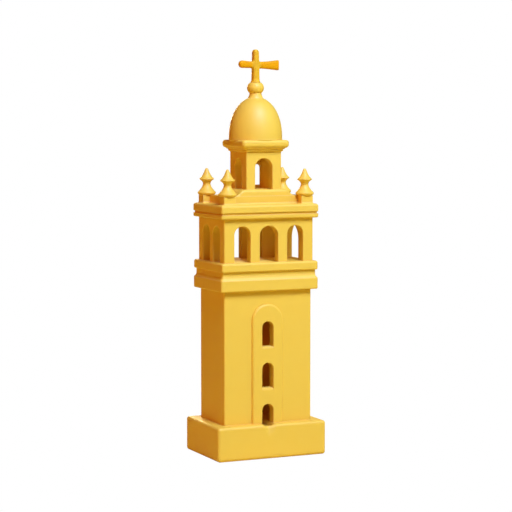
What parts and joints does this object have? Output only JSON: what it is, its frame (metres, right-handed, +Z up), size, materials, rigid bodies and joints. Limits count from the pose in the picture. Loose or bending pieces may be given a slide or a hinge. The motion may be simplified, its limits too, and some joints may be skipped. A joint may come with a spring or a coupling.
{
  "type": "model bell tower",
  "caption": "Small one-colour model of a bell tower: rectangular shaft on a plinth, open arcaded belfry, corner finials, arched lantern, dome, ball and cross.",
  "frame": {"origin": "middle of the underside of the plinth", "axes": "+Z up to the cross; -Y out of the front, which has the door and windows; +X along the front to the right as one faces it"},
  "size_m": [0.0702, 0.0496, 0.2417],
  "materials": {
    "tower_yellow": "matte",
    "cross_yellow": "matte"
  },
  "bodies": {
    "root": {"plinth": "tower_yellow", "shaft_front_wall": "tower_yellow", "shaft_back_wall": "tower_yellow", "shaft_left_wall": "tower_yellow", "shaft_right_wall": "tower_yellow", "front_panel": "tower_yellow", "back_panel": "tower_yellow", "band_slab": "tower_yellow", "band_neck": "tower_yellow", "belfry_floor": "tower_yellow", "belfry_front_arcade": "tower_yellow", "belfry_back_arcade": "tower_yellow", "belfry_left_arcade": "tower_yellow", "belfry_right_arcade": "tower_yellow", "cornice_lower": "tower_yellow", "cornice_upper": "tower_yellow", "attic": "tower_yellow", "pedestal_front_left": "tower_yellow", "pedestal_front_right": "tower_yellow", "pedestal_back_left": "tower_yellow", "pedestal_back_right": "tower_yellow", "finial_front_left": "tower_yellow", "finial_front_right": "tower_yellow", "finial_back_left": "tower_yellow", "finial_back_right": "tower_yellow", "lantern_base": "tower_yellow", "lantern_front_wall": "tower_yellow", "lantern_back_wall": "tower_yellow", "lantern_left_wall": "tower_yellow", "lantern_right_wall": "tower_yellow", "lantern_bed_mould": "tower_yellow", "lantern_cornice": "tower_yellow", "dome": "tower_yellow", "dome_collar": "tower_yellow", "ball": "tower_yellow", "cross": "cross_yellow"}
  },
  "joints": []
}
